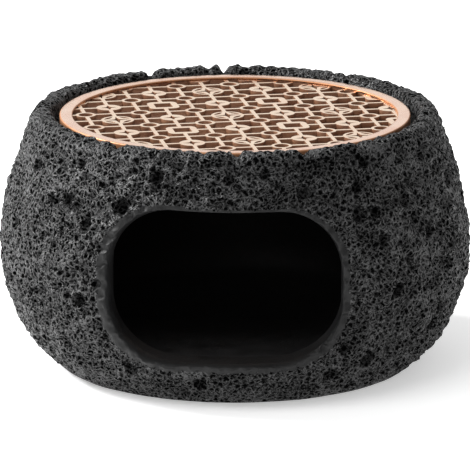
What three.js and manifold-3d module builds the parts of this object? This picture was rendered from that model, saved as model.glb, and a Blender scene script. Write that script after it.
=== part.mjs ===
// Tealight warmer: a rough cast-stone bowl with a smooth-edged mouth at the front,
// and a copper-toned pierced plate that lies in a round seat at the top.
// Millimetres, +Z up, mouth facing -Y, origin under the middle of the base.

import * as THREE from 'three';
import { mergeVertices } from 'three/addons/utils/BufferGeometryUtils.js';
import Module from 'manifold-3d';

const wasm = await Module();
wasm.setup();

// The mouth takes the front of the belly away, so the turning axis stands a little forward
// and the origin stays under the middle of the whole
const axisY = -2.4;

// Stone body, outside
const baseZ = 0.8;
const baseRadius = 57.4;
const bellyRadius = 75.2;
const bellyZ = 42.5;
const rimRadius = 65;
const rimShoulderZ = 80.4;
const crestZ = 82;
const crestRadius = 61.6;
const lumpSize = 0.55;
const bodySides = 60;

// Stone body, inside
const floorZ = 12;
const floorRadius = 54;
const chamberRadius = 65.5;
const chamberZ = 38;
const throatRadius = 49;
const throatZ = 70.5;
const ledgeZ = 76.2;
const seatRadius = 57.8;
const seatFlare = 1;

// Mouth
const mouthHalfWidth = 35.8;
const mouthSillZ = 16.2;
const mouthTopZ = 64.2;
const mouthTopCorner = 19;
const mouthSillCorner = 20;
const mouthInnerY = -46;
const mouthSplayStartY = -59;
const mouthSplayDepth = 16;
const mouthSplay = 4.2;

// Gaps broken in the crest at the back, and bubble craters in the outside
const craterCount = 34;
const notchBearing = 96;
const gapBearing = 119;
const chipBearings = [-138, -124, -87, -67];

// Pierced plate: outer ring with a rebate underneath that takes the lattice
const ringRadius = 56.1;
const ringInnerRadius = 52;
const ringTopZ = 80.8;
const ringBottomZ = 77.6;
const rebateRadius = 53.9;
const rebateZ = 80.1;
const fitGap = 0.3;

// Lattice
const latticeTopZ = rebateZ - fitGap;
const latticeHeight = latticeTopZ - ringBottomZ;
const latticeRadius = rebateRadius - fitGap;
const latticeBand = 1.3;
const pitch = 8.9;
const barWidth = 1.35;
const latticeTurn = THREE.MathUtils.degToRad(13.1);
const latticeShift = new THREE.Vector2(-2.4, -0.15);
const smallRingRadius = 3.3;
const smallHoleRadius = 2.25;
const coinRadius = 5.3;
const leafRadius = 4.1;
const leafHole = 2.7;
const squareHalf = 4.9;
const squareCornerCut = 1.8;
const squareHoleHalf = 2.7;
const starWaist = 1.1;
const lensWaist = 3.1;
const plateSides = 72;

// Pads
const padCount = 4;
const ringPadRadius = 2.2;
const ringPadHeight = 0.8;
const ringPadCircle = 53.6;
const footRadius = 6;
const footHeight = 2;
const footCircle = 43;

const stoneMaterial = { color: 0x353436, roughness: 0.6, metalness: 0 };
const copperMaterial = { color: 0xd9a07c, roughness: 0.32, metalness: 0.9 };
const latticeMaterial = { color: 0xcf9470, roughness: 0.34, metalness: 0.9 };
const padMaterial = { color: 0x1d1d1d, roughness: 0.85, metalness: 0 };

// A closed geometry as a solid that can be joined and cut
function solid(geometry) {
  const bare = geometry.index ? geometry.clone() : geometry;
  bare.deleteAttribute('normal');
  bare.deleteAttribute('uv');
  const merged = mergeVertices(bare, 1e-4);
  return new wasm.Manifold(new wasm.Mesh({
    numProp: 3,
    vertProperties: new Float32Array(merged.attributes.position.array),
    triVerts: new Uint32Array(merged.index.array),
  }));
}

function toGeometry(body) {
  const mesh = body.getMesh();
  const geometry = new THREE.BufferGeometry();
  geometry.setAttribute('position', new THREE.BufferAttribute(mesh.vertProperties, 3));
  geometry.setIndex(new THREE.BufferAttribute(mesh.triVerts, 1));
  geometry.computeVertexNormals();
  return geometry;
}

// LatheGeometry turns about Y, so the lathed shape is stood up onto +Z
function lathe(points, sides) {
  const geometry = new THREE.LatheGeometry(points, sides);
  geometry.rotateX(Math.PI / 2);
  return geometry;
}

function upright(radius, height, sides) {
  const geometry = new THREE.CylinderGeometry(radius, radius, height, sides);
  geometry.rotateX(Math.PI / 2);
  return geometry;
}

function point(radius, z) {
  return new THREE.Vector2(radius, z);
}

function onCircle(radius, degrees, z) {
  const angle = THREE.MathUtils.degToRad(degrees);
  return new THREE.Vector3(radius * Math.cos(angle), radius * Math.sin(angle), z);
}

// ---------------------------------------------------------------- stone body

const lowerFlank = new THREE.CubicBezierCurve(
  point(baseRadius, baseZ),
  point(bellyRadius + 0.3, baseZ + 13.3),
  point(bellyRadius, bellyZ - 9.7),
  point(bellyRadius, bellyZ),
);
const upperFlank = new THREE.CubicBezierCurve(
  point(bellyRadius, bellyZ),
  point(bellyRadius, bellyZ + 13.5),
  point(rimRadius + 3.6, rimShoulderZ - 10),
  point(rimRadius, rimShoulderZ),
);

// Radius of the outside at a height, read off the flank curves
function flankRadius(z) {
  const flank = z < bellyZ ? lowerFlank : upperFlank;
  const samples = flank.getPoints(40);
  const above = samples.find((sample) => sample.y >= z);
  return above ? above.x : rimRadius;
}

// Slow waves in three directions, so the hewn skin is never quite round
function lump(x, y, z) {
  const broad = Math.sin(0.21 * x + 0.17 * z + 1.3) * Math.sin(0.19 * y - 0.13 * z + 0.4);
  const fine = Math.sin(0.61 * x - 0.47 * y + 0.9) * Math.sin(0.53 * z + 0.37 * y);
  return lumpSize * (0.5 * broad + 0.5 * fine);
}

function roughen(geometry) {
  const position = geometry.attributes.position;
  const vertex = new THREE.Vector3();
  for (let index = 0; index < position.count; index += 1) {
    vertex.fromBufferAttribute(position, index);
    const radius = Math.hypot(vertex.x, vertex.y);
    if (vertex.z < baseZ + 1 || radius < seatRadius - 4) {
      continue;
    }
    const push = lump(vertex.x, vertex.y, vertex.z);
    const isCrest = vertex.z > rimShoulderZ - 0.1;
    const scale = isCrest ? 1 : 1 + push / radius;
    const rise = isCrest ? push : 0;
    position.setXYZ(index, vertex.x * scale, vertex.y * scale, vertex.z + rise);
  }
  return geometry;
}

function outerForm() {
  const profile = [point(0, baseZ)];
  profile.push(...lowerFlank.getPoints(5));
  profile.push(...upperFlank.getPoints(5).slice(1));
  profile.push(point(crestRadius, crestZ));
  profile.push(point(seatRadius - 0.5, crestZ - 0.6));
  profile.push(point(0, crestZ - 0.6));
  return solid(roughen(lathe(profile, bodySides)));
}

// Chamber, throat and round seat as one turned core
function innerForm() {
  const wall = new THREE.CubicBezierCurve(
    point(floorRadius, floorZ),
    point(chamberRadius, floorZ + 6),
    point(chamberRadius + 2.5, chamberZ + 18),
    point(throatRadius, throatZ),
  );
  const profile = [point(0, floorZ)];
  profile.push(...wall.getPoints(7));
  profile.push(point(throatRadius, ledgeZ));
  profile.push(point(seatRadius, ledgeZ));
  profile.push(point(seatRadius + seatFlare, crestZ + 6));
  profile.push(point(0, crestZ + 6));
  return solid(lathe(profile, bodySides));
}

function mouthOutline() {
  const outline = new THREE.Shape();
  const sillX = mouthHalfWidth - mouthSillCorner;
  const sillZ = mouthSillZ + mouthSillCorner;
  const topX = mouthHalfWidth - mouthTopCorner;
  const topZ = mouthTopZ - mouthTopCorner;
  outline.absarc(sillX, sillZ, mouthSillCorner, -Math.PI / 2, 0);
  outline.absarc(topX, topZ, mouthTopCorner, 0, Math.PI / 2);
  outline.absarc(-topX, topZ, mouthTopCorner, Math.PI / 2, Math.PI);
  outline.absarc(-sillX, sillZ, mouthSillCorner, Math.PI, 1.5 * Math.PI);
  return outline;
}

// The outline lies in X and Z once the extrusion is turned to run along -Y
function mouthCutter(startY, depth, options) {
  const geometry = new THREE.ExtrudeGeometry(mouthOutline(), { depth, curveSegments: 6, ...options });
  geometry.rotateX(Math.PI / 2);
  geometry.translate(0, startY, 0);
  return solid(geometry);
}

function cutMouth(body) {
  const clearWay = mouthCutter(mouthInnerY, 50, { bevelEnabled: false });
  const splay = mouthCutter(mouthSplayStartY - mouthSplayDepth, 10, {
    bevelThickness: mouthSplayDepth,
    bevelSize: mouthSplay,
    bevelSegments: 2,
  });
  return body.subtract(clearWay).subtract(splay);
}

// A prism lying across the crest, edge down, that breaks a gap right through it
function crestGap(size, sides, bearing, bottomZ) {
  const prism = new THREE.CylinderGeometry(size, size, 18, sides);
  prism.rotateY(Math.PI);
  prism.rotateZ(THREE.MathUtils.degToRad(bearing - 90));
  const at = onCircle(crestRadius, bearing, bottomZ + size);
  prism.translate(at.x, at.y, at.z);
  return solid(prism);
}

function cutCrest(body) {
  const notch = crestGap(3, 3, notchBearing, crestZ - 2.4);
  const gap = crestGap(3.4, 6, gapBearing, crestZ - 1.5);
  let result = body.subtract(notch).subtract(gap);
  for (const bearing of chipBearings) {
    result = result.subtract(crestGap(2.6, 6, bearing, crestZ - 1.3));
  }
  return result;
}

// Craters are spread evenly over the outside by two irrational steps
function cutCraters(body) {
  let result = body;
  for (let index = 0; index < craterCount; index += 1) {
    const bearing = 360 * ((index * 0.7549) % 1);
    const z = 10 + 64 * ((index * 0.5698) % 1);
    const size = 2.1 + 1.3 * ((index * 0.377) % 1);
    const centre = onCircle(flankRadius(z) + 0.45 * size, bearing, z);
    const atMouth = centre.y < 0 && Math.abs(centre.x) < mouthHalfWidth + 9;
    if (atMouth && z > mouthSillZ - 8 && z < mouthTopZ + 7) {
      continue;
    }
    const bubble = new THREE.IcosahedronGeometry(size, 1);
    bubble.translate(centre.x, centre.y, centre.z);
    result = result.subtract(solid(bubble));
  }
  return result;
}

function footBearing(index) {
  return 45 + (index * 360) / padCount;
}

function cutFootSockets(body) {
  let result = body;
  for (let index = 0; index < padCount; index += 1) {
    const depth = footHeight + fitGap;
    const socket = upright(footRadius + fitGap, 2 * depth, 20);
    const at = onCircle(footCircle, footBearing(index), 0);
    socket.translate(at.x, at.y, 0);
    result = result.subtract(solid(socket));
  }
  return result;
}

function stoneShell() {
  const hollowed = outerForm().subtract(innerForm());
  const opened = cutMouth(hollowed);
  return toGeometry(cutFootSockets(cutCraters(cutCrest(opened))));
}

// ---------------------------------------------------------------- pierced plate

function rimRing() {
  const profile = [
    point(rebateRadius, ringBottomZ),
    point(ringRadius - 0.3, ringBottomZ),
    point(ringRadius, ringBottomZ + 0.3),
    point(ringRadius, ringTopZ - 0.5),
    point(ringRadius - 0.5, ringTopZ),
    point(ringInnerRadius + 1.5, ringTopZ),
    point(ringInnerRadius, ringTopZ - 0.35),
    point(ringInnerRadius, rebateZ),
    point(rebateRadius, rebateZ),
    point(rebateRadius, ringBottomZ),
  ];
  return toGeometry(solid(lathe(profile, plateSides)));
}

// Kind of node at a bar crossing: they repeat every four bars both ways
function nodeKind(column, row) {
  const isOdd = (value) => value % 2 !== 0;
  if (isOdd(column) && isOdd(row)) {
    return 'smallRing';
  }
  if (isOdd(column) || isOdd(row)) {
    return 'cross';
  }
  if (isOdd(column / 2) && isOdd(row / 2)) {
    return 'square';
  }
  return isOdd(column / 2) || isOdd(row / 2) ? 'leaf' : 'coin';
}

function polar(radius, angle) {
  return new THREE.Vector2(radius * Math.cos(angle), radius * Math.sin(angle));
}

// Outer edge of a round node between two bars, in its first quadrant
function roundCorner(radius, steps) {
  const start = Math.asin(barWidth / 2 / radius);
  const sweep = Math.PI / 2 - 2 * start;
  const points = [];
  for (let step = steps; step >= 0; step -= 1) {
    points.push(polar(radius, start + (sweep * step) / steps));
  }
  return points;
}

function squareCorner() {
  const cut = squareHalf - squareCornerCut;
  return [
    new THREE.Vector2(barWidth / 2, squareHalf),
    new THREE.Vector2(cut, squareHalf),
    new THREE.Vector2(squareHalf, cut),
    new THREE.Vector2(squareHalf, barWidth / 2),
  ];
}

const corners = {
  cross: [new THREE.Vector2(barWidth / 2, barWidth / 2)],
  smallRing: roundCorner(smallRingRadius, 2),
  leaf: roundCorner(leafRadius, 2),
  coin: roundCorner(coinRadius, 3),
  square: squareCorner(),
};

// Opening between four crossings, bounded by the bars and the four nodes
function cellOutline(column, row) {
  const middle = new THREE.Vector2(0, 0);
  const points = [];
  const crossings = [[0, 0], [1, 0], [1, 1], [0, 1]];
  crossings.forEach(([right, up], quadrant) => {
    const centre = new THREE.Vector2((column + right) * pitch, (row + up) * pitch);
    for (const corner of corners[nodeKind(column + right, row + up)]) {
      points.push(corner.clone().rotateAround(middle, quadrant * (Math.PI / 2)).add(centre));
    }
  });
  return new THREE.Shape(points);
}

function polygon(radius, sides, centre) {
  const points = [];
  for (let side = 0; side < sides; side += 1) {
    points.push(polar(radius, (2 * Math.PI * (side + 0.5)) / sides).add(centre));
  }
  return new THREE.Shape(points);
}

// Four-pointed opening with hollow sides, its points along the bars
function starOutline(reach, waist, centre) {
  const points = [];
  for (let quarter = 0; quarter < 4; quarter += 1) {
    const tip = quarter * (Math.PI / 2);
    points.push(polar(reach, tip).add(centre), polar(waist, tip + Math.PI / 4).add(centre));
  }
  return new THREE.Shape(points);
}

// Leaf-shaped opening between the coin's rim and one side of its star
function lensOutline(quarter, centre) {
  const middle = (quarter + 0.5) * (Math.PI / 2);
  const radius = coinRadius - 1;
  const points = [
    polar(radius, middle - 0.5),
    polar(radius, middle),
    polar(radius, middle + 0.5),
    polar(lensWaist, middle),
  ];
  return new THREE.Shape(points.map((place) => place.add(centre)));
}

// Openings inside one node
function nodeOutlines(column, row) {
  const centre = new THREE.Vector2(column * pitch, row * pitch);
  const kind = nodeKind(column, row);
  if (kind === 'smallRing') {
    return [polygon(smallHoleRadius, 8, centre)];
  }
  if (kind === 'square') {
    return [polygon(squareHoleHalf * Math.SQRT2, 4, centre)];
  }
  if (kind === 'leaf') {
    return [starOutline(leafHole, leafHole * 0.4, centre)];
  }
  if (kind === 'coin') {
    const lenses = [0, 1, 2, 3].map((quarter) => lensOutline(quarter, centre));
    return [starOutline(coinRadius - 1.1, starWaist, centre), ...lenses];
  }
  return [];
}

// The blank with every opening punched through it, up to a plain band at the edge
function latticeInsert() {
  const outlines = [];
  const reach = Math.ceil(latticeRadius / pitch);
  for (let column = -reach; column <= reach; column += 1) {
    for (let row = -reach; row <= reach; row += 1) {
      outlines.push(cellOutline(column, row), ...nodeOutlines(column, row));
    }
  }
  const depth = latticeHeight + 2;
  const punches = new THREE.ExtrudeGeometry(outlines, { depth, bevelEnabled: false });
  punches.rotateZ(latticeTurn);
  punches.translate(latticeShift.x, latticeShift.y, ringBottomZ - 1);
  const field = upright(latticeRadius - latticeBand, 2 * depth, plateSides);
  const blank = upright(latticeRadius, latticeHeight, plateSides);
  const middleZ = ringBottomZ + latticeHeight / 2;
  field.translate(0, 0, middleZ);
  blank.translate(0, 0, middleZ);
  return toGeometry(solid(blank).subtract(solid(punches).intersect(solid(field))));
}

// ---------------------------------------------------------------- assembly

function named(name, geometry, look) {
  const mesh = new THREE.Mesh(geometry, new THREE.MeshStandardMaterial(look));
  mesh.name = name;
  return mesh;
}

const warmer = new THREE.Group();
warmer.add(named('stone_shell', stoneShell(), stoneMaterial));

const plate = new THREE.Group();
plate.add(named('rim_ring', rimRing(), copperMaterial));
plate.add(named('lattice_insert', latticeInsert(), latticeMaterial));
for (let index = 0; index < padCount; index += 1) {
  const pad = named(`rattle_pad_${index + 1}`, upright(ringPadRadius, ringPadHeight, 14), padMaterial);
  const padZ = ringBottomZ - fitGap - ringPadHeight / 2;
  pad.position.copy(onCircle(ringPadCircle, (index * 360) / padCount, padZ));
  plate.add(pad);
}
warmer.add(plate);

for (let index = 0; index < padCount; index += 1) {
  const foot = named(`foot_${index + 1}`, upright(footRadius, footHeight, 20), padMaterial);
  foot.position.copy(onCircle(footCircle, footBearing(index), footHeight / 2));
  warmer.add(foot);
}

warmer.position.y = axisY;

export default warmer;
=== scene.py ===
import bpy
import bmesh
import math
from mathutils import Vector, Matrix, geometry, noise


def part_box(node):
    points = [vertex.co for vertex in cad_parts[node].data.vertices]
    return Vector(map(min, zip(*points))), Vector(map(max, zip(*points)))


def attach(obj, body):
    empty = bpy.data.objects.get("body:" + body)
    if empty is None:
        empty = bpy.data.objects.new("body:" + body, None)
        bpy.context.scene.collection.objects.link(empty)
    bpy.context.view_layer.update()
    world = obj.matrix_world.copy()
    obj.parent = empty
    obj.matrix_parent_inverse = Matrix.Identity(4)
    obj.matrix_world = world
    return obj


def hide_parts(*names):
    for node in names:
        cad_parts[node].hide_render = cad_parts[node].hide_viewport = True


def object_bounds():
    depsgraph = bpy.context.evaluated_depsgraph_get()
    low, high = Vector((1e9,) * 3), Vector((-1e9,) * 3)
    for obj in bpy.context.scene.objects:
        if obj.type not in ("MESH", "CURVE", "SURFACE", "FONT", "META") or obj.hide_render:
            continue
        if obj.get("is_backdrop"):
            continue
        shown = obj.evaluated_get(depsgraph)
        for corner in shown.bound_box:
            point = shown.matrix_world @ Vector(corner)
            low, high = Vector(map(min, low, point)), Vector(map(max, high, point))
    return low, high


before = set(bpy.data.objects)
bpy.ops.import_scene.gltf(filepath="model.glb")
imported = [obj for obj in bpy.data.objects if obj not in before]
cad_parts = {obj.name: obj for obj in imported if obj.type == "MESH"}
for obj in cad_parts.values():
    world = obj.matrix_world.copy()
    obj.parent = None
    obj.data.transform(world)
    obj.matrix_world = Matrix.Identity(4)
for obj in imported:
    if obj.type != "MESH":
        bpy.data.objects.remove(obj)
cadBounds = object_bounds()
mm = 0.001
print("frame loaded")

ringLow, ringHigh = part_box("rim_ring")
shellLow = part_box("stone_shell")[0]
latticeLow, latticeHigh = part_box("lattice_insert")
axisX = (ringLow.x + ringHigh.x) / 2 / mm  # the bowl and the plate are turned about one axis
axisY = (ringLow.y + ringHigh.y) / 2 / mm
ringTop = ringHigh.z / mm
ringBottom = ringLow.z / mm
latticeTop = latticeHigh.z / mm


# small helpers, all working in millimetres until finishPiece

def finishPiece(name, bm, material, body, replaced):
    bmesh.ops.remove_doubles(bm, verts=bm.verts, dist=1e-4)
    bmesh.ops.recalc_face_normals(bm, faces=bm.faces)
    mesh = bpy.data.meshes.new(name)
    bm.to_mesh(mesh)
    bm.free()
    piece = bpy.data.objects.new(name, mesh)
    bpy.context.scene.collection.objects.link(piece)
    placePiece(piece, material, body, replaced)
    return piece


def placePiece(piece, material, body, replaced):
    piece.data.transform(Matrix.Translation((axisX * mm, axisY * mm, 0)) @ Matrix.Scale(mm, 4))
    piece.data.shade_smooth()
    piece.data.materials.clear()
    piece.data.materials.append(material)
    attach(piece, body)
    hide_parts(*replaced)


def boxMiddle(low, high):
    middle = (low + high) / 2 / mm
    return Vector((middle.x - axisX, middle.y - axisY, 0))


def turnProfile(bm, points, columns):
    verts = [bm.verts.new((r, 0, z)) for r, z in points]
    edges = [bm.edges.new(pair) for pair in zip(verts, verts[1:])]
    bmesh.ops.spin(bm, geom=verts + edges, cent=(0, 0, 0), axis=(0, 0, 1), angle=2 * math.pi,
                   steps=columns, use_merge=True)
    bmesh.ops.remove_doubles(bm, verts=bm.verts, dist=1e-4)


def curvePoints(start, startHandle, endHandle, end, step):
    handles = [Vector(p).to_3d() for p in (start, startHandle, endHandle, end)]
    rough = geometry.interpolate_bezier(*handles, 40)
    length = sum((b - a).length for a, b in zip(rough, rough[1:]))
    count = max(3, round(length / step) + 1)
    return [(p.x, p.y) for p in geometry.interpolate_bezier(*handles, count)]


def straightPoints(start, end, step):
    a, b = Vector(start), Vector(end)
    count = max(1, round((b - a).length / step))
    return [tuple(a.lerp(b, i / count)) for i in range(count + 1)]


# materials

def newMaterial(name):
    material = bpy.data.materials.new(name)
    material.use_nodes = True
    tree = material.node_tree
    tree.nodes.clear()
    output = tree.nodes.new("ShaderNodeOutputMaterial")
    shader = tree.nodes.new("ShaderNodeBsdfPrincipled")
    tree.links.new(shader.outputs["BSDF"], output.inputs["Surface"])
    place = tree.nodes.new("ShaderNodeTexCoord")
    return material, tree, shader, place.outputs["Object"]


def noiseNode(tree, place, scale, detail=4, roughness=0.55):
    node = tree.nodes.new("ShaderNodeTexNoise")
    node.inputs["Scale"].default_value = scale
    node.inputs["Detail"].default_value = detail
    node.inputs["Roughness"].default_value = roughness
    tree.links.new(place, node.inputs["Vector"])
    return node.outputs["Fac"]


def cellNode(tree, place, scale, feature="F1"):
    node = tree.nodes.new("ShaderNodeTexVoronoi")
    node.feature = feature
    node.inputs["Scale"].default_value = scale
    tree.links.new(place, node.inputs["Vector"])
    return node.outputs["Distance"]


def rampNode(tree, source, stops):
    node = tree.nodes.new("ShaderNodeValToRGB")
    ramp = node.color_ramp
    while len(ramp.elements) < len(stops):
        ramp.elements.new(0.5)
    for element, (position, color) in zip(ramp.elements, stops):
        element.position = position
        element.color = (*color, 1)
    tree.links.new(source, node.inputs["Fac"])
    return node.outputs["Color"]


def rangeNode(tree, source, low, high, newLow, newHigh):
    node = tree.nodes.new("ShaderNodeMapRange")
    node.inputs["From Min"].default_value = low
    node.inputs["From Max"].default_value = high
    node.inputs["To Min"].default_value = newLow
    node.inputs["To Max"].default_value = newHigh
    tree.links.new(source, node.inputs["Value"])
    return node.outputs["Result"]


def bumpNode(tree, height, distance, strength, below=None):
    node = tree.nodes.new("ShaderNodeBump")
    node.inputs["Distance"].default_value = distance
    node.inputs["Strength"].default_value = strength
    tree.links.new(height, node.inputs["Height"])
    if below is not None:
        tree.links.new(below, node.inputs["Normal"])
    return node.outputs["Normal"]


def mathNode(tree, operation, first, second):
    node = tree.nodes.new("ShaderNodeMath")
    node.operation = operation
    for socket, value in zip(node.inputs, (first, second)):
        if isinstance(value, (int, float)):
            socket.default_value = value
        else:
            tree.links.new(value, socket)
    return node.outputs["Value"]


def bentPlace(tree, place, scale, amount):
    wobble = tree.nodes.new("ShaderNodeTexNoise")
    wobble.inputs["Scale"].default_value = scale
    tree.links.new(place, wobble.inputs["Vector"])
    bent = tree.nodes.new("ShaderNodeVectorMath")
    bent.operation = "MULTIPLY_ADD"
    bent.inputs[1].default_value = (amount, amount, amount)
    tree.links.new(wobble.outputs["Color"], bent.inputs[0])
    tree.links.new(place, bent.inputs[2])
    return bent.outputs["Vector"]


stoneLook = {
    # pit and wall: painted shade inside the pores; skin: the stone's own dark grey
    "pit": 0.001,
    "wall": 0.003,
    "skin": 0.033,
    "roughPit": 0.75,
    "roughSkin": 0.32,
    "shine": 0.95,
    "poreScales": ((560, 0.45), (1000, 0.35), (1900, 0.25)),  # cells per metre, share of height
    "ridge": (0.02, 0.34),  # distance to a cell's edge where a ridge is highest and where it ends
    "bendScale": 700,
    "bend": 0.0016,
    "crowdScale": 120,
    "crowdShare": 0.5,
    "skinRange": (0.5, 0.92),
    "poreDepth": 0.0012,
    "grainScale": 3200,
    "grainDepth": 0.0003,
}
# painted shade for the crater insides: darker pore walls and skin, less shine
craterShadeLook = dict(stoneLook, wall=0.002, skin=0.015, shine=0.4)


def makeStone(name, look):
    material, tree, shader, place = newMaterial(name)
    crowd = mathNode(tree, "SUBTRACT", noiseNode(tree, place, look["crowdScale"], 4, 0.6), 0.5)
    height = mathNode(tree, "MULTIPLY", crowd, look["crowdShare"])
    bent = bentPlace(tree, place, look["bendScale"], look["bend"])
    for scale, share in look["poreScales"]:
        toEdge = cellNode(tree, bent, scale, "DISTANCE_TO_EDGE")
        ridge = mathNode(tree, "MULTIPLY", rangeNode(tree, toEdge, *look["ridge"], 1, 0), share)
        height = mathNode(tree, "ADD", height, ridge)
    skin = rangeNode(tree, height, *look["skinRange"], 0, 1)
    # the near-black pit and wall tones are painted shade in the pore hollows
    grey = [(value, value, value * 1.03) for value in (look["pit"], look["wall"], look["skin"])]
    tones = rampNode(tree, skin, list(zip((0.05, 0.5, 1.0), grey)))
    roughness = rangeNode(tree, skin, 0, 1, look["roughPit"], look["roughSkin"])
    shine = rangeNode(tree, skin, 0, 1, 0.0, look["shine"])
    tree.links.new(tones, shader.inputs["Base Color"])
    tree.links.new(roughness, shader.inputs["Roughness"])
    tree.links.new(shine, shader.inputs["Specular IOR Level"])
    grain = noiseNode(tree, place, look["grainScale"], 4, 0.65)
    fine = bumpNode(tree, grain, look["grainDepth"], 1.0)
    tree.links.new(bumpNode(tree, skin, look["poreDepth"], 1.0, fine), shader.inputs["Normal"])
    return material


def makeSmoothStone(name, shade, shine, fade=None):
    material, tree, shader, place = newMaterial(name)
    patches = noiseNode(tree, place, 160, 6, 0.65)
    shader.inputs["Specular IOR Level"].default_value = shine
    if fade:  # painted shade: darker and less glossy towards the back
        split = tree.nodes.new("ShaderNodeSeparateXYZ")
        tree.links.new(place, split.inputs["Vector"])
        front = rangeNode(tree, split.outputs["Y"], fade[0], fade[1], 1, 0)
        patches = mathNode(tree, "MULTIPLY", patches, front)
        gloss = rangeNode(tree, front, 0, 1, 0.02, shine)
        tree.links.new(gloss, shader.inputs["Specular IOR Level"])
    tones = [(0.15, (shade * 0.1,) * 3), (0.6, (shade, shade, shade * 1.03))]
    tree.links.new(rampNode(tree, patches, tones), shader.inputs["Base Color"])
    tree.links.new(rangeNode(tree, patches, 0.3, 0.7, 0.38, 0.55), shader.inputs["Roughness"])
    pits = rangeNode(tree, cellNode(tree, place, 520), 0.05, 0.3, 0, 1)
    fine = bumpNode(tree, noiseNode(tree, place, 1900, 4, 0.6), 0.00012, 0.7)
    tree.links.new(bumpNode(tree, pits, 0.00025, 0.35, fine), shader.inputs["Normal"])
    return material


ringLook = {
    "pale": (0.93, 0.67, 0.52),
    "deep": (0.85, 0.54, 0.40),
    "roughLow": 0.2,
    "roughHigh": 0.32,
}
# painted shade: a darker, duller copy of the ring copper for its steep sides
sideShadeLook = {
    "pale": (0.46, 0.22, 0.11),
    "deep": (0.33, 0.14, 0.06),
    "roughLow": 0.42,
    "roughHigh": 0.56,
}
latticeLook = {
    "pale": (0.96, 0.77, 0.58),
    "deep": (0.90, 0.64, 0.46),
    "roughLow": 0.2,
    "roughHigh": 0.34,
}
# painted shade: a dark brown, duller copy of the lattice copper for the walls of the openings
wallShadeLook = {
    "pale": (0.27, 0.13, 0.07),
    "deep": (0.15, 0.06, 0.03),
    "roughLow": 0.35,
    "roughHigh": 0.5,
}


def makeCopper(name, look, mottleScale, metallic=1.0):
    material, tree, shader, place = newMaterial(name)
    mottle = noiseNode(tree, place, mottleScale, 4, 0.6)
    tones = rampNode(tree, mottle, [(0.3, look["deep"]), (0.65, look["pale"])])
    tree.links.new(tones, shader.inputs["Base Color"])
    smear = noiseNode(tree, place, 700, 3, 0.6)
    roughness = rangeNode(tree, smear, 0.3, 0.7, look["roughLow"], look["roughHigh"])
    tree.links.new(roughness, shader.inputs["Roughness"])
    shader.inputs["Metallic"].default_value = metallic
    brush = noiseNode(tree, place, 2400, 3, 0.6)
    tree.links.new(bumpNode(tree, brush, 0.00004, 0.5), shader.inputs["Normal"])
    return material


def makeRubber(name, shade):
    material, tree, shader, place = newMaterial(name)
    dust = noiseNode(tree, place, 300, 5, 0.6)
    tones = rampNode(tree, dust, [(0.3, (shade,) * 3), (0.75, (shade * 1.8,) * 3)])
    tree.links.new(tones, shader.inputs["Base Color"])
    tree.links.new(rangeNode(tree, dust, 0.3, 0.7, 0.7, 0.9), shader.inputs["Roughness"])
    grain = noiseNode(tree, place, 3000, 3)
    tree.links.new(bumpNode(tree, grain, 0.00005, 0.4), shader.inputs["Normal"])
    return material


roughStone = makeStone("roughStone", stoneLook)
smoothStone = makeSmoothStone("smoothStone", 0.009, 0.25)
chamberShadeStone = makeSmoothStone("chamberShadeStone", 0.04, 0.3, (-0.055, 0.0))  # inside of the chamber, with painted shade deepening towards the back
craterShadeStone = makeStone("craterShadeStone", craterShadeLook)  # inside of the larger craters: painted shade, a darker and less glossy copy of the stone
ringCopper = makeCopper("ringCopper", ringLook, 90)
ringSideShade = makeCopper("ringSideShade", sideShadeLook, 90, 0.5)
latticeCopper = makeCopper("latticeCopper", latticeLook, 160)
latticeWallShade = makeCopper("latticeWallShade", wallShadeLook, 240, 0.35)
padSilicone = makeRubber("padSilicone", 0.05)
footRubber = makeRubber("footRubber", 0.02)
print("materials ready")


# stone bowl: one turned skin, pitted all over its outside,
# then the mouth and the foot sockets cut out of it

bowl = {
    "columns": 600,
    "fineStep": 0.75,
    "coarseStep": 9.0,
    "baseHeight": shellLow.z / mm,
    "baseRadius": 57.4,
    "bellyRadius": 75.2,
    "bellyHeight": 42.5,
    "rimRadius": 65.0,
    "shoulderHeight": 80.4,
    "crestRadius": 61.6,
    "crestHeight": 82.6,
    "seatRadius": 57.8,
    "ledgeHeight": 76.2,
    "throatRadius": 49.0,
    "throatHeight": 70.5,
    "chamberRadius": 65.5,
    "floorRadius": 54.0,
    "floorHeight": 12.0,
    "socketGap": 0.3,
}


def flankCurves(b):
    belly, bellyZ = b["bellyRadius"], b["bellyHeight"]
    rim, rimZ = b["rimRadius"], b["shoulderHeight"]
    base, baseZ = b["baseRadius"], b["baseHeight"]
    lower = ((base, baseZ), (belly + 0.3, baseZ + 13.3), (belly, bellyZ - 9.7), (belly, bellyZ))
    upper = ((belly, bellyZ), (belly, bellyZ + 13.5), (rim + 3.6, rimZ - 10), (rim, rimZ))
    return lower, upper


def chamberCurve(b):
    wide, low = b["chamberRadius"], b["floorHeight"]
    throat = (b["throatRadius"], b["throatHeight"])
    return (b["floorRadius"], low), (wide, low + 6), (wide + 2.5, 56), throat


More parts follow.
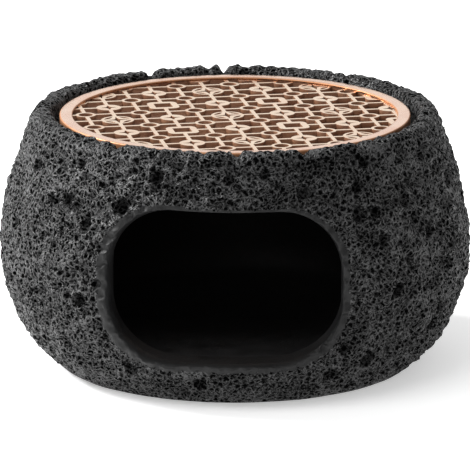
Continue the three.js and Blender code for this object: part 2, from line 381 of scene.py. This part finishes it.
def bowlProfile(b):
    lower, upper = flankCurves(b)
    fine = b["fineStep"]
    points = straightPoints((0, b["baseHeight"]), (b["baseRadius"] - 5, b["baseHeight"]), 20)
    points += straightPoints((b["baseRadius"] - 5, b["baseHeight"]), lower[0], 1.5)[1:]
    points += curvePoints(*lower, fine)[1:]
    points += curvePoints(*upper, fine)[1:]
    top, topZ, seat = b["crestRadius"], b["crestHeight"], b["seatRadius"]
    points += curvePoints(upper[3], (b["rimRadius"] - 0.6, topZ - 0.4), (top + 1.6, topZ),
                          (top, topZ), fine)[1:]
    points += curvePoints((top, topZ), (top - 1.8, topZ), (seat + 0.9, topZ - 0.6),
                          (seat + 0.5, topZ - 2.2), fine)[1:]
    points += straightPoints(points[-1], (seat, b["ledgeHeight"]), 1.0)[1:]
    points += straightPoints(points[-1], (b["throatRadius"], b["ledgeHeight"]), 5)[1:]
    points += straightPoints(points[-1], (b["throatRadius"], b["throatHeight"]), 6)[1:]
    points += curvePoints(*reversed(chamberCurve(b)), b["coarseStep"])[1:]
    points += straightPoints(points[-1], (0, b["floorHeight"]), 30)[1:]
    return points


def radiusAt(curves, height):
    for curve in curves:
        path = geometry.interpolate_bezier(*[Vector(p).to_3d() for p in curve], 80)
        for a, b in zip(path, path[1:]):
            if min(a.y, b.y) <= height <= max(a.y, b.y):
                return a.x + (b.x - a.x) * (height - a.y) / ((b.y - a.y) or 1)
    return curves[-1][-1][0]


relief = {
    "lumpSize": 14.0,
    "lumpDepth": 0.9,
    "swell": 0.45,
    "crumpleSize": 2.6,
    "crumpleDepth": 0.9,
    "bubbles": [  # cell size, bubble radius, depth, share of the cells that hold one
        (8.5, 2.8, 1.6, 0.4),
        (4.6, 1.9, 1.1, 0.6),
        (2.7, 1.3, 0.8, 0.8),
    ],
    "craters": [  # bearing in degrees from +X, height, radius, depth
        (-108.5, 74.7, 2.3, 1.5), (-89.1, 74.8, 1.8, 1.2), (-79.5, 76.1, 1.7, 1.2),
        (-69.5, 70.6, 2.4, 1.6), (-54.0, 70.2, 2.1, 1.6), (-50.4, 77.1, 1.9, 1.4),
        (-117.6, 64.8, 2.9, 1.9), (-127.4, 57.8, 2.6, 1.7), (-50.4, 14.1, 3.2, 2.0),
        (-133.4, 74.7, 2.2, 1.5), (-135.2, 63.7, 2.6, 1.7), (-141.4, 62.6, 1.9, 1.4),
        (-122.7, 40.0, 1.8, 1.3), (-128.1, 33.9, 2.3, 1.5), (-44.4, 36.6, 2.5, 1.8),
        (-35.6, 68.9, 2.2, 1.6), (-32.1, 52.6, 2.7, 1.9), (-48.6, 53.4, 2.3, 1.8),
        (-54.9, 62.1, 2.6, 1.9), (-50.0, 62.1, 1.9, 1.5), (-59.2, 19.6, 2.0, 1.5),
        (-116.2, 12.2, 2.6, 1.6), (-97.0, 8.7, 2.2, 1.4), (-61.4, 10.7, 2.4, 1.5),
    ],
    "craterDeepen": 1.25,
    "craterLip": 0.3,
    "lipReach": 0.35,  # how far the lip goes on past the crater, as a part of its radius
    "spreadCount": 60,
    "spreadBearings": (-30, 240),  # first bearing and how far round
    "spreadHeights": (6, 70),
    "spreadRadii": (1.7, 1.3),
    "spreadDepth": 1.6,
    "craterShare": 0.25,  # how much of the relief is left inside craters
    "wallShare": 0.35,  # on the wall of the seat
    "crestShare": 0.65,
}


def bubbleDepth(place, cell, radius, depth, share):
    distances, seeds = noise.voronoi(place / cell)
    luck = noise.cell(seeds[0] * 7.3) * 0.5 + 0.5
    if luck > share:
        return 0.0
    reach = radius * (0.55 + 0.45 * luck / share)
    near = distances[0] * cell / reach
    return depth * (1 - near * near) ** 0.6 * reach / radius if near < 1 else 0.0


def craterPlaces(b, r):
    placed = list(r["craters"])
    steps = ((0.7549, "spreadBearings"), (0.5698, "spreadHeights"), (0.377, "spreadRadii"))
    for i in range(r["spreadCount"]):  # the sides and the back, spread evenly by uneven steps
        spread = [r[key][0] + r[key][1] * (i * step % 1) for step, key in steps]
        placed.append((*spread, r["spreadDepth"]))
    curves = flankCurves(b)
    craters = []
    for bearing, height, radius, depth in placed:
        at = radiusAt(curves, height)
        turn = math.radians(bearing)
        place = Vector((at * math.cos(turn), at * math.sin(turn), height))
        craters.append((place, radius, depth * r["craterDeepen"]))
    return craters


def craterDepth(place, craters, r):
    deepest = 0.0
    for centre, radius, depth in craters:
        near = (place - centre).length / radius
        if near < 1:
            hollow = depth * (1 - near ** 4)
        elif near < 1 + r["lipReach"]:
            hollow = -r["craterLip"] * math.sin((near - 1) / r["lipReach"] * math.pi)
        else:
            continue
        deepest = hollow if abs(hollow) > abs(deepest) else deepest
    return deepest


def inCrater(place, centre, radius):
    off = place - centre
    if off.length > radius + 3:
        return False
    outward = Vector((centre.x, centre.y, 0)).normalized()
    return (off - outward * off.dot(outward)).length < radius


def reliefAt(place, r):
    height = r["swell"] + r["lumpDepth"] * (noise.noise(place / r["lumpSize"]) - 0.4)
    crumple = noise.turbulence(place / r["crumpleSize"], 3, False) - 0.5
    height += r["crumpleDepth"] * crumple
    for cell, radius, depth, share in r["bubbles"]:
        height -= bubbleDepth(place + Vector((cell, 3 * cell, 5)), cell, radius, depth, share)
    return height


crest = {
    "ragged": 1.2,
    "gaps": [  # bearing in degrees from +X, half width, depth below the crest, floor width
        (96, 1.7, 2.9, 0.2),
        (119.5, 2.6, 1.9, 1.6),
    ],
    "chips": [  # bearing, half width, depth
        (-138, 2.6, 1.7), (-124, 2.9, 1.8), (-87, 2.2, 1.6), (-67, 3.0, 1.7), (-49, 2.0, 1.2),
    ],
}


def alongCrest(bearing, at, b):
    return math.radians(abs((bearing - at + 180) % 360 - 180)) * b["crestRadius"]


def crestDrop(point, b, c):
    bearing = math.degrees(math.atan2(point.y, point.x))
    ragged = noise.noise(Vector((bearing / 4.5, 3.1, 0)))
    ragged += 0.6 * noise.noise(Vector((bearing / 1.8, 8.4, 0)))
    drop = c["ragged"] * max(0.0, ragged)
    for at, half, depth, flat in c["gaps"]:
        off = alongCrest(bearing, at, b)
        drop = max(drop, depth * min(1.0, max(0.0, (half - off) / max(half - flat, 0.1))))
    for at, half, depth in c["chips"]:
        off = alongCrest(bearing, at, b)
        if off < half:
            drop = max(drop, depth * math.cos(off / half * math.pi / 2))
    return drop


def roughenBowl(bm, b, craters):
    bm.normal_update()
    crestZone = b["shoulderHeight"] - 1.0
    moves = []
    for v in bm.verts:
        radius = math.hypot(v.co.x, v.co.y)
        aboveLedge = radius > b["seatRadius"] - 0.2 and v.co.z > b["ledgeHeight"] + 0.2
        facesOut = v.normal.dot(Vector((v.co.x, v.co.y, 0))) > 0.02 * radius
        if (aboveLedge or facesOut) and v.co.z > b["baseHeight"] + 0.1:
            fade = min(1.0, (v.co.z - b["baseHeight"]) / 3)
            inWall = radius < b["seatRadius"] + 1.2 and v.co.z < b["crestHeight"] - 1.0
            hole = craterDepth(v.co, craters, relief)
            share = 1.0
            if hole > 0:
                share = relief["craterShare"]
            elif inWall:
                share = relief["wallShare"]
            elif v.co.z > crestZone:
                share = relief["crestShare"]
            rough = reliefAt(v.co, relief) * share
            move = v.normal * (rough * fade - hole)
            if v.co.z > crestZone - 4:
                move.z -= crestDrop(v.co, b, crest) * min(1.0, (v.co.z - crestZone + 4) / 4)
        else:
            move = v.normal * 0.12 * noise.noise(v.co / 9)
        moves.append(move)
    for v, move in zip(bm.verts, moves):
        v.co += move


mouth = {
    "halfWidth": 35.6,
    "sill": 16.2,
    "top": 64.2,
    "topCorner": 19.0,
    "sillCorner": 20.0,
    "edgeRound": 3.6,
    "edgeStart": 20,  # degrees: where the round starts under the rough skin
    "innerRound": 0.7,
    "edgeShares": (1.8, 1.1, 0.5, 1.0),  # left, right, top and sill, as parts of edgeRound
    "arch": 0.8,
    "archStart": 15,  # above the sill
    "straightOn": 6.0,
    "cornerSteps": 20,
    "sideSteps": 14,
}


def mouthOutline(m, grow):
    corners = [  # centre x, centre z, radius, first angle
        (m["halfWidth"] - m["sillCorner"], m["sill"] + m["sillCorner"], m["sillCorner"], -90),
        (m["halfWidth"] - m["topCorner"], m["top"] - m["topCorner"], m["topCorner"], 0),
        (m["topCorner"] - m["halfWidth"], m["top"] - m["topCorner"], m["topCorner"], 90),
        (m["sillCorner"] - m["halfWidth"], m["sill"] + m["sillCorner"], m["sillCorner"], 180),
    ]
    arcs = []
    for x, z, radius, first in corners:
        steps, reach = m["cornerSteps"], radius + grow
        angles = [math.radians(first + 90 * i / steps) for i in range(steps + 1)]
        arcs.append([Vector((x + reach * math.cos(a), z + reach * math.sin(a))) for a in angles])
    outline = []
    for arc, following in zip(arcs, arcs[1:] + arcs[:1]):
        outline += arc
        steps = m["sideSteps"]
        outline += [arc[-1].lerp(following[0], i / steps) for i in range(1, steps)]
    return outline


def skinDepth(curves, x, z):
    radius = radiusAt(curves, z)
    return -math.sqrt(max(radius * radius - x * x, 1.0))


def edgeShare(point, m):
    away = (point - Vector((0, (m["top"] + m["sill"]) / 2))).normalized()
    left, right, top, sill = m["edgeShares"]
    side = right if away.x > 0 else left
    return away.x ** 2 * side + away.y ** 2 * (top if away.y > 0 else sill)


def archAt(point, m):
    low = m["sill"] + m["archStart"]
    high = min(1.0, max(0.0, (point.y - low) / (m["top"] - low)))
    return m["arch"] * high * max(0.0, 1 - (point.x / m["halfWidth"]) ** 2)


def cutterRings(b, m):
    outer = flankCurves(b)
    inner = (chamberCurve(b),)
    big, small = m["edgeRound"], m["innerRound"]
    start = math.radians(m["edgeStart"])
    slope = Vector((math.cos(start), -math.sin(start))) * m["straightOn"]  # on out of the skin
    wide = big * (1 - math.sin(start)) + slope.x
    rings = [(wide, None, -100), (wide, outer, big * (1 - math.cos(start)) + slope.y)]
    for i in range(9):
        t = start + (math.pi / 2 - start) * i / 8
        rings.append((big * (1 - math.sin(t)), outer, big * (1 - math.cos(t))))
    for i in range(7):
        t = math.pi / 2 - math.radians(80) * i / 6
        rings.append((small * (1 - math.sin(t)), inner, -small * (1 - math.cos(t))))
    rings.append((small + 1.5, inner, 1.2))
    return rings


def makeCutter(b, m):
    bm = bmesh.new()
    base = mouthOutline(m, 0)
    previous = None
    for grow, curves, depth in cutterRings(b, m):
        wide = mouthOutline(m, grow)
        ring = []
        for near, far in zip(base, wide):
            share = edgeShare(near, m)
            at = near + (far - near) * share
            y = skinDepth(curves, near.x, near.y) + depth * share if curves else depth
            ring.append(bm.verts.new((at.x, y, at.y + archAt(near, m))))
        edges = [bm.edges.new(pair) for pair in zip(ring, ring[1:] + ring[:1])]
        if previous:
            bmesh.ops.bridge_loops(bm, edges=previous + edges)
        else:
            first = edges
        previous = edges
    for edges in (first, previous):
        bmesh.ops.triangle_fill(bm, edges=edges, use_beauty=True, use_dissolve=False)
    for node in ("foot_1", "foot_2", "foot_3", "foot_4"):
        low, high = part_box(node)
        radius = (high.x - low.x) / 2 / mm + b["socketGap"]
        centre = boxMiddle(low, high)
        bmesh.ops.create_cone(bm, cap_ends=True, segments=48, radius1=radius, radius2=radius,
                              depth=2 * (high.z / mm + b["socketGap"]),
                              matrix=Matrix.Translation(centre))
    bmesh.ops.recalc_face_normals(bm, faces=bm.faces)
    mesh = bpy.data.meshes.new("mouthCutter")
    bm.to_mesh(mesh)
    bm.free()
    cutter = bpy.data.objects.new("mouthCutter", mesh)
    bpy.context.scene.collection.objects.link(cutter)
    return cutter


def cutAway(piece, other):
    cut = piece.modifiers.new("cut", "BOOLEAN")
    cut.operation = "DIFFERENCE"
    cut.solver = "EXACT"
    cut.object = other
    evaluated = piece.evaluated_get(bpy.context.evaluated_depsgraph_get())
    mesh = bpy.data.meshes.new_from_object(evaluated)
    piece.modifiers.clear()
    piece.data = mesh
    bpy.data.objects.remove(other)


def makeBowl(b, m):
    craters = craterPlaces(b, relief)
    bm = bmesh.new()
    turnProfile(bm, bowlProfile(b), b["columns"])
    bmesh.ops.recalc_face_normals(bm, faces=bm.faces)
    roughenBowl(bm, b, craters)
    print("bowl skin", len(bm.faces))
    mesh = bpy.data.meshes.new("stoneBowl")
    bm.to_mesh(mesh)
    bm.free()
    piece = bpy.data.objects.new("stoneBowl", mesh)
    bpy.context.scene.collection.objects.link(piece)
    cutAway(piece, makeCutter(b, m))
    placePiece(piece, roughStone, "bowl", ["stone_shell"])
    for material in (smoothStone, chamberShadeStone, craterShadeStone):
        piece.data.materials.append(material)
    for face in piece.data.polygons:
        centre = face.center / mm - Vector((axisX, axisY, 0))
        radius = math.hypot(centre.x, centre.y)
        inChamber = radius < radiusAt((chamberCurve(b),), centre.z) + 1
        if inChamber and centre.z < b["ledgeHeight"] + 0.1:
            face.material_index = 2
        elif centre.y < 0 and insideOutline(m, centre.x, centre.z, 2.6 * edgeShare(centre.xz, m)):
            face.material_index = 1
        # crater insides take the painted shade
        elif any(inCrater(centre, at, size * 0.9) for at, size, depth in craters):
            face.material_index = 3
    return piece


def insideOutline(m, x, z, grow):
    for side, corner in ((1, "top"), (-1, "sill")):
        edge, radius = m[corner], m[corner + "Corner"]
        if side * (z - edge) > grow:
            return False
        dx, dz = abs(x) - (m["halfWidth"] - radius), side * (z - (edge - side * radius))
        if dx > 0 and dz > 0 and math.hypot(dx, dz) > radius + grow:
            return False
    return abs(x) < m["halfWidth"] + grow


stoneBowl = makeBowl(bowl, mouth)
print("stone bowl", len(stoneBowl.data.polygons))


# copper ring with a soft crown

ring = {
    "outer": (ringHigh.x - ringLow.x) / 2 / mm,
    "inner": 52.0,
    "rebate": 53.9,
    "rebateHeight": 80.1,
    "edgeRound": 0.5,
    "crown": 0.12,
    "sideSlope": 0.9,
    "columns": 288,
}


def makeRing(r):
    out, inn, soft = r["outer"], r["inner"], r["edgeRound"]
    points = [(r["rebate"], ringBottom), (out - 0.3, ringBottom), (out, ringBottom + 0.3),
              (out, ringTop - soft - 0.1)]
    points += curvePoints(points[-1], (out, ringTop - 0.25), (out - 0.3, ringTop - 0.1),
                          (out - 0.9, ringTop - r["crown"] * 0.4), 0.12)[1:]
    points += curvePoints(points[-1], (out - 1.8, ringTop + 0.02), (inn + 1.6, ringTop + 0.02),
                          (inn + 0.7, ringTop - r["crown"]), 0.4)[1:]
    points += curvePoints(points[-1], (inn + 0.25, ringTop - 0.2), (inn, ringTop - 0.3),
                          (inn, ringTop - 0.55), 0.12)[1:]
    points += [(inn, r["rebateHeight"]), (r["rebate"], r["rebateHeight"]), points[0]]
    bm = bmesh.new()
    turnProfile(bm, points, r["columns"])
    piece = finishPiece("copperRing", bm, ringCopper, "plate", ["rim_ring"])
    piece.data.materials.append(ringSideShade)
    # steep faces get the painted-shade copy
    for face in piece.data.polygons:
        face.material_index = int(abs(face.normal.z) < r["sideSlope"])
    return piece


copperRing = makeRing(ring)
print("ring", len(copperRing.data.polygons))


# pierced lattice, drawn flat as a sheet with openings, then thickened with rounded edges

lattice = {
    "pitch": 8.9,
    "bar": 1.35,
    "turn": 13.1,
    "shift": (-2.4, -0.15),
    "smallRing": 3.3,
    "smallHole": 2.25,
    "leafRadius": 4.1,
    "leafHole": 2.7,
    "leafWaist": 1.0,
    "coinRadius": 5.3,
    "starReach": 4.1,
    "starWaist": 1.1,
    "lensOuter": 4.3,
    "lensWaist": 3.1,
    "squareHalf": 4.9,
    "squareCorner": 2.3,
    "squareHole": 2.7,
    "edgeRound": 0.12,
    "outerRadius": (latticeHigh.x - latticeLow.x) / 2 / mm,
    "openRadius": 52.5,
    "leastOpening": 1.2,
    "leastStep": 0.25,
    "leastCorner": 0.35,  # radians, like sharpAngle
    "flat": 0.99,
    "sharpAngle": 0.6,
    "wallSlope": 0.5,
    "reach": 6,
}


def polar(radius, angle):
    return Vector((radius * math.cos(angle), radius * math.sin(angle)))


def nodeKind(column, row):
    if column % 2 and row % 2:
        return "smallRing"
    if column % 2 or row % 2:
        return "cross"
    if column % 4 and row % 4:
        return "square"
    return "leaf" if column % 4 or row % 4 else "coin"


def arc(radius, start, end, steps):
    return [polar(radius, start + (end - start) * i / steps) for i in range(steps + 1)]


def nodeCorner(kind, p):
    half = p["bar"] / 2
    if kind == "cross":
        return [Vector((half, half))]
    if kind == "square":
        inner = p["squareHalf"] - p["squareCorner"]
        bend = arc(p["squareCorner"], math.pi / 2, 0, 4)
        rounded = [q + Vector((inner, inner)) for q in bend]
        return [Vector((half, p["squareHalf"]))] + rounded + [Vector((p["squareHalf"], half))]
    rounds = {"smallRing": ("smallRing", 5), "leaf": ("leafRadius", 6), "coin": ("coinRadius", 8)}
    key, steps = rounds[kind]
    radius = p[key]
    start = math.asin(half / radius)
    return arc(radius, math.pi / 2 - start, start, steps)


def cellOutline(column, row, p):
    points = []
    for quadrant, (right, up) in enumerate(((0, 0), (1, 0), (1, 1), (0, 1))):
        centre = Vector(((column + right) * p["pitch"], (row + up) * p["pitch"]))
        for corner in nodeCorner(nodeKind(column + right, row + up), p):
            points.append(Matrix.Rotation(quadrant * math.pi / 2, 2) @ corner + centre)
    return points


def starOutline(reach, waist):
    points = []
    for quarter in range(4):
        tip = quarter * math.pi / 2
        points += [polar(reach, tip), polar(waist * 1.06, tip + 0.5),
                   polar(waist, tip + math.pi / 4), polar(waist * 1.06, tip + math.pi / 2 - 0.5)]
    return points


def lensOutline(quarter, p):
    middle = (quarter + 0.5) * math.pi / 2
    outer = arc(p["lensOuter"], middle - 0.52, middle + 0.52, 5)
    a, b = outer[-1], outer[0]
    pull = polar(p["lensWaist"], middle) * 2 - (a + b) / 2
    handles = [q.to_3d() for q in (a, a.lerp(pull, 2 / 3), b.lerp(pull, 2 / 3), b)]
    return outer + [q.to_2d() for q in geometry.interpolate_bezier(*handles, 6)[1:-1]]


def nodeOutlines(column, row, p):
    kind = nodeKind(column, row)
    shapes = []
    if kind == "smallRing":
        shapes = [arc(p["smallHole"], 0, 2 * math.pi * 17 / 18, 17)]
    elif kind == "square":
        half = p["squareHole"]
        corners = ((half, half), (-half, half), (-half, -half), (half, -half))
        shapes = [[Vector(corner) for corner in corners]]
    elif kind == "leaf":
        shapes = [starOutline(p["leafHole"], p["leafWaist"])]
    elif kind == "coin":
        shapes = [starOutline(p["starReach"], p["starWaist"])]
        shapes += [lensOutline(quarter, p) for quarter in range(4)]
    centre = Vector((column, row)) * p["pitch"]
    return [[q + centre for q in shape] for shape in shapes]


def inPairs(points):
    return zip(points, points[1:] + points[:1])


def clipToCircle(points, p):
    radius = p["openRadius"]
    clipped = []
    for a, b in inPairs(points):
        if a.length <= radius:
            clipped.append(a)
        hits = geometry.intersect_line_sphere_2d(a, b, Vector((0, 0)), radius, True)
        hits = [hit for hit in hits if hit is not None]
        clipped += sorted(hits, key=lambda hit: (hit - a).length)
    spaced = [q for q, after in inPairs(clipped) if (after - q).length > p["leastStep"]]
    around = list(zip(spaced[-1:] + spaced[:-1], spaced, spaced[1:] + spaced[:1]))
    kept = [q for before, q, after in around
            if (before - q).angle(after - q, 0) > p["leastCorner"]]
    area = sum(q.cross(after) for q, after in inPairs(kept)) / 2
    return kept if len(kept) > 2 and abs(area) > p["leastOpening"] else None


def addLoop(curve, points):
    spline = curve.splines.new("POLY")
    spline.points.add(len(points) - 1)
    for at, q in zip(spline.points, points):
        at.co = (q.x, q.y, 0, 1)
    spline.use_cyclic_u = True


def latticeOutlines(p):
    turn, shift = Matrix.Rotation(math.radians(p["turn"]), 2), Vector(p["shift"])
    for column in range(-p["reach"] - 1, p["reach"] + 1):
        for row in range(-p["reach"] - 1, p["reach"] + 1):
            for outline in [cellOutline(column, row, p)] + nodeOutlines(column, row, p):
                yield clipToCircle([turn @ q + shift for q in outline], p)


def makeLattice(p):
    thick = latticeTop - ringBottom
    curve = bpy.data.curves.new("latticeSheet", "CURVE")
    curve.dimensions = "2D"
    curve.fill_mode = "BOTH"
    curve.extrude = thick / 2 - p["edgeRound"]
    curve.bevel_depth = p["edgeRound"]
    curve.bevel_resolution = 1
    curve.offset = -p["edgeRound"]
    addLoop(curve, arc(p["outerRadius"], 0, 2 * math.pi * 191 / 192, 191))
    for outline in latticeOutlines(p):
        if outline:
            addLoop(curve, outline)
    drawn = bpy.data.objects.new("latticeSheet", curve)
    bpy.context.scene.collection.objects.link(drawn)
    evaluated = drawn.evaluated_get(bpy.context.evaluated_depsgraph_get())
    mesh = bpy.data.meshes.new_from_object(evaluated)
    bpy.data.objects.remove(drawn)
    bm = bmesh.new()
    bm.from_mesh(mesh)
    bmesh.ops.translate(bm, vec=(0, 0, ringBottom + thick / 2), verts=bm.verts)
    bmesh.ops.remove_doubles(bm, verts=bm.verts, dist=1e-3)
    bm.normal_update()
    for edge in bm.edges:
        flats = {abs(face.normal.z) > p["flat"] for face in edge.link_faces}
        edge.smooth = len(flats) == 1 and edge.calc_face_angle(0) < p["sharpAngle"]
    piece = finishPiece("piercedLattice", bm, latticeCopper, "plate",
                        ["lattice_insert"])
    piece.data.materials.append(latticeWallShade)
    # walls of the openings get the painted-shade copy
    for face in piece.data.polygons:
        face.material_index = int(abs(face.normal.z) < p["wallSlope"])
    return piece


piercedLattice = makeLattice(lattice)
print("lattice", len(piercedLattice.data.polygons))


# silicone dots under the ring and rubber feet under the base

def makeDot(name, node, body, material, soft):
    low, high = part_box(node)
    radius = (high.x - low.x) / 2 / mm
    bottom, top = low.z / mm, high.z / mm
    points = [(0, bottom), (radius - soft, bottom)]
    points += curvePoints(points[-1], (radius - soft * 0.4, bottom), (radius, bottom + soft * 0.6),
                          (radius, bottom + soft), soft / 3)[1:]
    points += curvePoints((radius, top - soft), (radius, top - soft * 0.4),
                          (radius - soft * 0.6, top), (radius - soft, top), soft / 3)
    points += [(0, top)]
    bm = bmesh.new()
    turnProfile(bm, points, 48)
    bmesh.ops.translate(bm, vec=boxMiddle(low, high), verts=bm.verts)
    return finishPiece(name, bm, material, body, [node])


for number in range(1, 5):
    makeDot(f"rattleDot_{number}", f"rattle_pad_{number}", "plate", padSilicone,
            0.25)
    makeDot(f"rubberFoot_{number}", f"foot_{number}", "bowl", footRubber, 0.4)
print("dots and feet")


# floor, light and camera

studio = {
    "floorSize": 8.0,
    "floorShade": 0.9,
    "skyStrength": 0.56,
    "floorGlow": 0.42,
    "viewBearing": 2.5,
    "viewHeight": 14.4,
    "viewDistance": 1.577,
    "targetHeight": 0.0402,
    "lens": 375.3,
    "lamps": [  # name, place, target, size, power
        ("keyLamp", (-1.0, 0.3, 0.8), (0, 0, 0.05), (0.45, 0.4), 32),
        ("backLamp", (0.1, 1.6, 0.7), (0, 0, 0.08), (2.6, 1.0), 3),
        ("frontLamp", (-0.5, -0.8, 1.2), (0, 0, 0.05), (0.9, 0.7), 8),
    ],
}


def makeFloor(s):
    bm = bmesh.new()
    bmesh.ops.create_grid(bm, x_segments=8, y_segments=8, size=s["floorSize"] / 2)
    mesh = bpy.data.meshes.new("studioFloor")
    bm.to_mesh(mesh)
    bm.free()
    floor = bpy.data.objects.new("studioFloor", mesh)
    bpy.context.scene.collection.objects.link(floor)
    material, tree, shader, place = newMaterial("floorWhite")
    shade = s["floorShade"]
    shader.inputs["Base Color"].default_value = (shade, shade, shade, 1)
    shader.inputs["Roughness"].default_value = 0.9
    shader.inputs["Specular IOR Level"].default_value = 0.1
    shader.inputs["Emission Color"].default_value = (1, 1, 1, 1)
    shader.inputs["Emission Strength"].default_value = s["floorGlow"]
    mesh.materials.append(material)
    floor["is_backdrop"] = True


def addLamp(name, place, target, size, power):
    light = bpy.data.lights.new(name, "AREA")
    light.shape = "RECTANGLE"
    light.size, light.size_y = size
    light.energy = power
    lamp = bpy.data.objects.new(name, light)
    lamp.location = place
    lamp.rotation_euler = (Vector(target) - Vector(place)).to_track_quat("-Z", "Y").to_euler()
    bpy.context.scene.collection.objects.link(lamp)


def addCamera(s):
    camera = bpy.data.cameras.new("camera")
    camera.lens = s["lens"]
    camera.sensor_width = 36
    camera.clip_end = 50
    bearing, height = math.radians(s["viewBearing"]), math.radians(s["viewHeight"])
    level = math.cos(height)
    back = Vector((math.sin(bearing) * level, -math.cos(bearing) * level, math.sin(height)))
    target = Vector((axisX * mm, axisY * mm, s["targetHeight"]))
    holder = bpy.data.objects.new("camera", camera)
    holder.location = target + back * s["viewDistance"]
    holder.rotation_euler = back.to_track_quat("Z", "Y").to_euler()
    bpy.context.scene.collection.objects.link(holder)
    bpy.context.scene.camera = holder


def makeSky(s):
    world = bpy.data.worlds.new("studioSky")
    world.use_nodes = True
    background = world.node_tree.nodes["Background"]
    background.inputs["Color"].default_value = (1, 1, 1, 1)
    background.inputs["Strength"].default_value = s["skyStrength"]
    bpy.context.scene.world = world


makeFloor(studio)
makeSky(studio)
for lamp in studio["lamps"]:
    addLamp(*lamp)
addCamera(studio)
bpy.context.scene.view_settings.view_transform = "Standard"
print("studio ready")

bounds = {"cad": cadBounds, "visual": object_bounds()}
{name: [list(corner) for corner in box] for name, box in bounds.items()}
